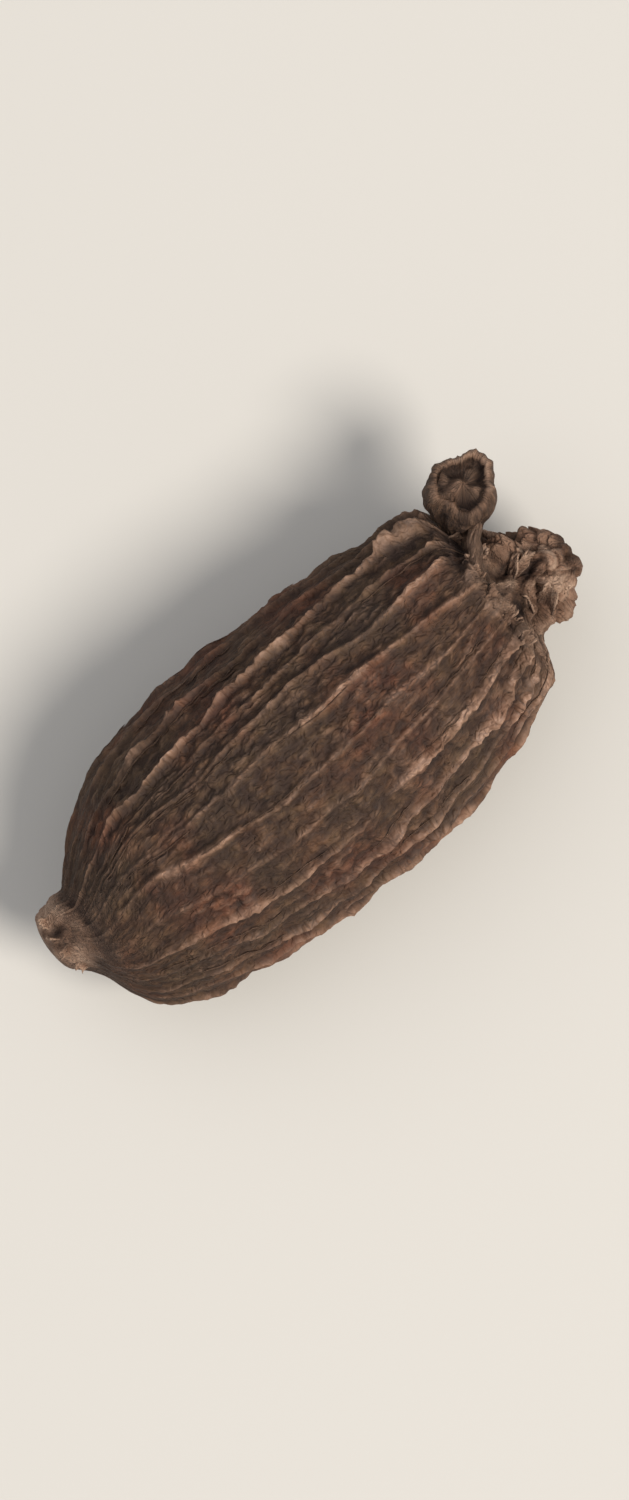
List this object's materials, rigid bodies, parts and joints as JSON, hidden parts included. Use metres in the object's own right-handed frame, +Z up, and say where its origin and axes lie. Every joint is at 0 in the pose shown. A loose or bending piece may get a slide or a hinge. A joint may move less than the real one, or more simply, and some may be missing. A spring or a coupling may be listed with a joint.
{
  "type": "black cardamom pod",
  "caption": "Dried black cardamom pod lying on its side: an oblong ribbed husk with a blunt nose, a crumpled crown and a curled stalk stub.",
  "frame": {"origin": "middle of the pod's box along X and Y, in the plane that its flat spot rests on", "axes": "+X along the pod from the blunt nose to the crumpled crown, +Z up from the flat spot through the pod's thickness"},
  "size_m": [0.026, 0.012, 0.01],
  "materials": {
    "dried_husk": "dry fibrous seed husk, dark brown furrows with paler worn ribs, matt"
  },
  "bodies": {
    "root": {"pod": "dried_husk"}
  },
  "joints": []
}
